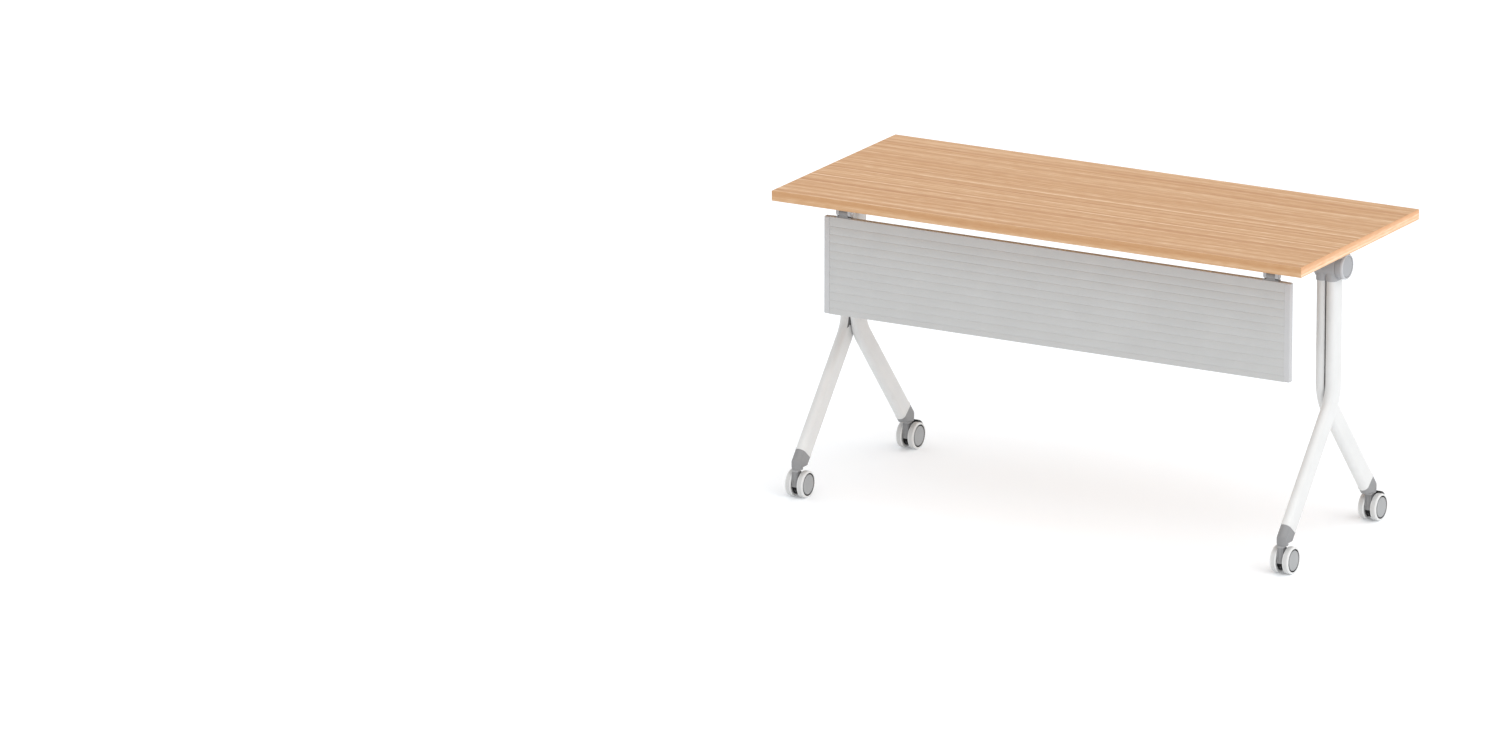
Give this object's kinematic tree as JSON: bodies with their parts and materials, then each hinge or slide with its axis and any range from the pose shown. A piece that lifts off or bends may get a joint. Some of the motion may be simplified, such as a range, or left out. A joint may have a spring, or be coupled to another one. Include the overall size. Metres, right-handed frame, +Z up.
{
  "type": "folding desk",
  "caption": "Flip-top desk on twin-wheel casters: wood-look top that tips about the leg heads, forked bent-tube legs and a hanging ribbed front panel.",
  "frame": {"origin": "on the floor, under the middle of the top", "axes": "+X along the top's length, -Y towards the front panel, +Y towards the person sitting at it, +Z up"},
  "size_m": [1.4, 0.6, 0.75],
  "materials": {
    "oak_laminate": "matte light oak laminate with fine straight grain",
    "oak_edge": "matte oak-coloured edge banding",
    "white_paint": "satin white powder coat",
    "grey_casting": "satin grey powder coat on a casting",
    "panel_aluminium": "matte light grey coat on a ribbed section",
    "grey_plastic": "matte mid grey moulding",
    "white_plastic": "satin white moulding",
    "black_plastic": "matte black moulding",
    "rubber": "matte black rubber",
    "steel": "bright zinc plated"
  },
  "bodies": {
    "frame": {"pivot_head_left": "grey_casting", "pivot_head_right": "grey_casting", "pivot_bushes": "white_plastic", "stop_buffers": "rubber", "crossbeam": "white_paint", "caster_stems": "steel", "leg_tube_front_left": "white_paint", "leg_tube_front_right": "white_paint", "leg_tube_rear_left": "white_paint", "leg_tube_rear_right": "white_paint", "leg_socket_front_left": "grey_plastic", "leg_socket_front_right": "grey_plastic", "leg_socket_rear_left": "grey_plastic", "leg_socket_rear_right": "grey_plastic"},
    "top": {"tabletop_board": "oak_laminate", "edge_band": "oak_edge", "top_bracket_left": "grey_casting", "top_bracket_right": "grey_casting", "bracket_screws": "steel", "pivot_shafts": "steel", "ear_caps": "grey_plastic", "panel_hanger_left": "grey_plastic", "panel_hanger_right": "grey_plastic", "hanger_screws": "steel"},
    "panel": {"panel_sheet": "panel_aluminium", "panel_end_caps": "grey_plastic", "panel_clips": "grey_plastic", "panel_hinge_pins": "steel"},
    "lock_left": {"lock_pin_left": "steel", "lock_knob_left": "black_plastic"},
    "lock_right": {"lock_pin_right": "steel", "lock_knob_right": "black_plastic"},
    "caster_front_left": {"caster_body_front_left": "grey_plastic", "caster_axle_front_left": "steel"},
    "wheel_outer_front_left": {"wheel_outer_front_left": "white_plastic", "hubcap_outer_front_left": "grey_plastic"},
    "wheel_inner_front_left": {"wheel_inner_front_left": "white_plastic", "hubcap_inner_front_left": "grey_plastic"},
    "caster_front_right": {"caster_body_front_right": "grey_plastic", "caster_axle_front_right": "steel"},
    "wheel_outer_front_right": {"wheel_outer_front_right": "white_plastic", "hubcap_outer_front_right": "grey_plastic"},
    "wheel_inner_front_right": {"wheel_inner_front_right": "white_plastic", "hubcap_inner_front_right": "grey_plastic"},
    "caster_rear_left": {"caster_body_rear_left": "grey_plastic", "caster_axle_rear_left": "steel"},
    "wheel_outer_rear_left": {"wheel_outer_rear_left": "white_plastic", "hubcap_outer_rear_left": "grey_plastic"},
    "wheel_inner_rear_left": {"wheel_inner_rear_left": "white_plastic", "hubcap_inner_rear_left": "grey_plastic"},
    "brake_rear_left": {"brake_pedal_rear_left": "black_plastic"},
    "caster_rear_right": {"caster_body_rear_right": "grey_plastic", "caster_axle_rear_right": "steel"},
    "wheel_outer_rear_right": {"wheel_outer_rear_right": "white_plastic", "hubcap_outer_rear_right": "grey_plastic"},
    "wheel_inner_rear_right": {"wheel_inner_rear_right": "white_plastic", "hubcap_inner_rear_right": "grey_plastic"},
    "brake_rear_right": {"brake_pedal_rear_right": "black_plastic"}
  },
  "joints": [
    {"name": "top_flip", "type": "hinge", "parent": "frame", "child": "top", "pos_m": [0, -0.024, 0.684], "axis": [1, 0, 0], "range_deg": [-90, 0]},
    {"name": "panel_swing", "type": "hinge", "parent": "top", "child": "panel", "pos_m": [0, -0.1865, 0.687], "axis": [1, 0, 0], "range_deg": [0, 72]},
    {"name": "lock_left_slide", "type": "slide", "parent": "top", "child": "lock_left", "axis": [-1, 0, 0], "range_m": [0, 0.009]},
    {"name": "lock_right_slide", "type": "slide", "parent": "top", "child": "lock_right", "axis": [1, 0, 0], "range_m": [0, 0.009]},
    {"name": "swivel_front_left", "type": "hinge", "parent": "frame", "child": "caster_front_left", "pos_m": [-0.645, -0.272, 0.06], "axis": [0, 0, 1], "continuous": true},
    {"name": "roll_outer_front_left", "type": "hinge", "parent": "caster_front_left", "child": "wheel_outer_front_left", "pos_m": [-0.645, -0.26, 0.0325], "axis": [1, 0, 0], "continuous": true},
    {"name": "roll_inner_front_left", "type": "hinge", "parent": "caster_front_left", "child": "wheel_inner_front_left", "pos_m": [-0.645, -0.26, 0.0325], "axis": [1, 0, 0], "continuous": true},
    {"name": "swivel_front_right", "type": "hinge", "parent": "frame", "child": "caster_front_right", "pos_m": [0.645, -0.272, 0.06], "axis": [0, 0, 1], "continuous": true},
    {"name": "roll_outer_front_right", "type": "hinge", "parent": "caster_front_right", "child": "wheel_outer_front_right", "pos_m": [0.645, -0.26, 0.0325], "axis": [1, 0, 0], "continuous": true},
    {"name": "roll_inner_front_right", "type": "hinge", "parent": "caster_front_right", "child": "wheel_inner_front_right", "pos_m": [0.645, -0.26, 0.0325], "axis": [1, 0, 0], "continuous": true},
    {"name": "swivel_rear_left", "type": "hinge", "parent": "frame", "child": "caster_rear_left", "pos_m": [-0.62, 0.224, 0.06], "axis": [0, 0, 1], "continuous": true},
    {"name": "roll_outer_rear_left", "type": "hinge", "parent": "caster_rear_left", "child": "wheel_outer_rear_left", "pos_m": [-0.62, 0.236, 0.0325], "axis": [1, 0, 0], "continuous": true},
    {"name": "roll_inner_rear_left", "type": "hinge", "parent": "caster_rear_left", "child": "wheel_inner_rear_left", "pos_m": [-0.62, 0.236, 0.0325], "axis": [1, 0, 0], "continuous": true},
    {"name": "brake_press_rear_left", "type": "hinge", "parent": "caster_rear_left", "child": "brake_rear_left", "pos_m": [-0.62, 0.236, 0.0325], "axis": [1, 0, 0], "range_deg": [-12, 0]},
    {"name": "swivel_rear_right", "type": "hinge", "parent": "frame", "child": "caster_rear_right", "pos_m": [0.62, 0.224, 0.06], "axis": [0, 0, 1], "continuous": true},
    {"name": "roll_outer_rear_right", "type": "hinge", "parent": "caster_rear_right", "child": "wheel_outer_rear_right", "pos_m": [0.62, 0.236, 0.0325], "axis": [1, 0, 0], "continuous": true},
    {"name": "roll_inner_rear_right", "type": "hinge", "parent": "caster_rear_right", "child": "wheel_inner_rear_right", "pos_m": [0.62, 0.236, 0.0325], "axis": [1, 0, 0], "continuous": true},
    {"name": "brake_press_rear_right", "type": "hinge", "parent": "caster_rear_right", "child": "brake_rear_right", "pos_m": [0.62, 0.236, 0.0325], "axis": [1, 0, 0], "range_deg": [-12, 0]}
  ],
  "couplings": [
    {"joint": "panel_swing", "follows": "top_flip", "ratio": -0.8}
  ]
}
